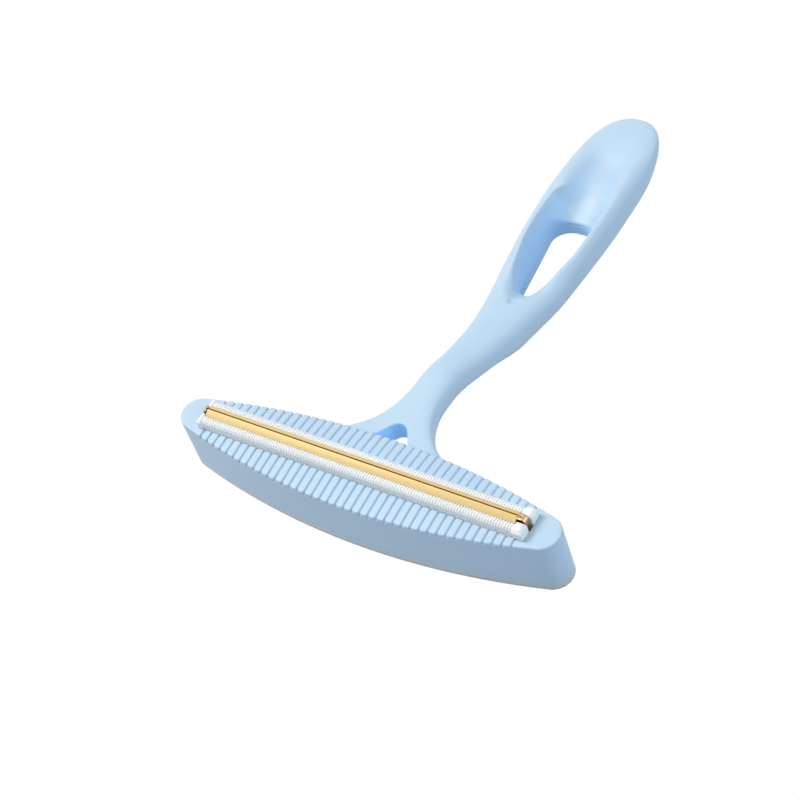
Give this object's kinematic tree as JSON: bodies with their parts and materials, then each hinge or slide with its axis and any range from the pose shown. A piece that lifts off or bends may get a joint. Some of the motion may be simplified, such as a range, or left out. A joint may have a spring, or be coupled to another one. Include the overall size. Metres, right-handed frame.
{
  "type": "sweater comb",
  "caption": "Hand-held sweater comb: a ribbed head with a twin-blade cartridge on one face and a lint pad on the other, on a curved handle with a finger slot.",
  "frame": {"origin": "centre of the lint pad's lower face", "axes": "+X along the head, +Y from the head to the handle's tip, +Z out of the ribbed face"},
  "size_m": [0.13, 0.1756, 0.029],
  "materials": {
    "shell_plastic": "light blue, fine matte",
    "plate_plastic": "off-white",
    "adhesive": "soft adhesive film",
    "lint_velour": "short directional velour",
    "guard_plastic": "white, satin",
    "blade_metal": "gold-tinted, satin",
    "bar_brass": "satin",
    "sheet_steel": "satin"
  },
  "bodies": {
    "comb": {"front_shell": "shell_plastic", "back_shell": "shell_plastic", "base_plate": "plate_plastic", "adhesive_sheet": "adhesive", "lint_pad": "lint_velour"},
    "cartridge": {"cartridge_tray": "guard_plastic", "front_guard": "guard_plastic", "rear_guard": "guard_plastic", "left_end_cap": "guard_plastic", "right_end_cap": "guard_plastic", "centre_bar": "bar_brass", "front_blade_support": "sheet_steel", "rear_blade_support": "sheet_steel", "front_blade": "blade_metal", "rear_blade": "blade_metal", "left_clip": "sheet_steel", "right_clip": "sheet_steel"}
  },
  "joints": [
    {"name": "cartridge_lift", "type": "slide", "parent": "comb", "child": "cartridge", "axis": [0, 0, 1], "range_m": [0, 0.008]}
  ]
}
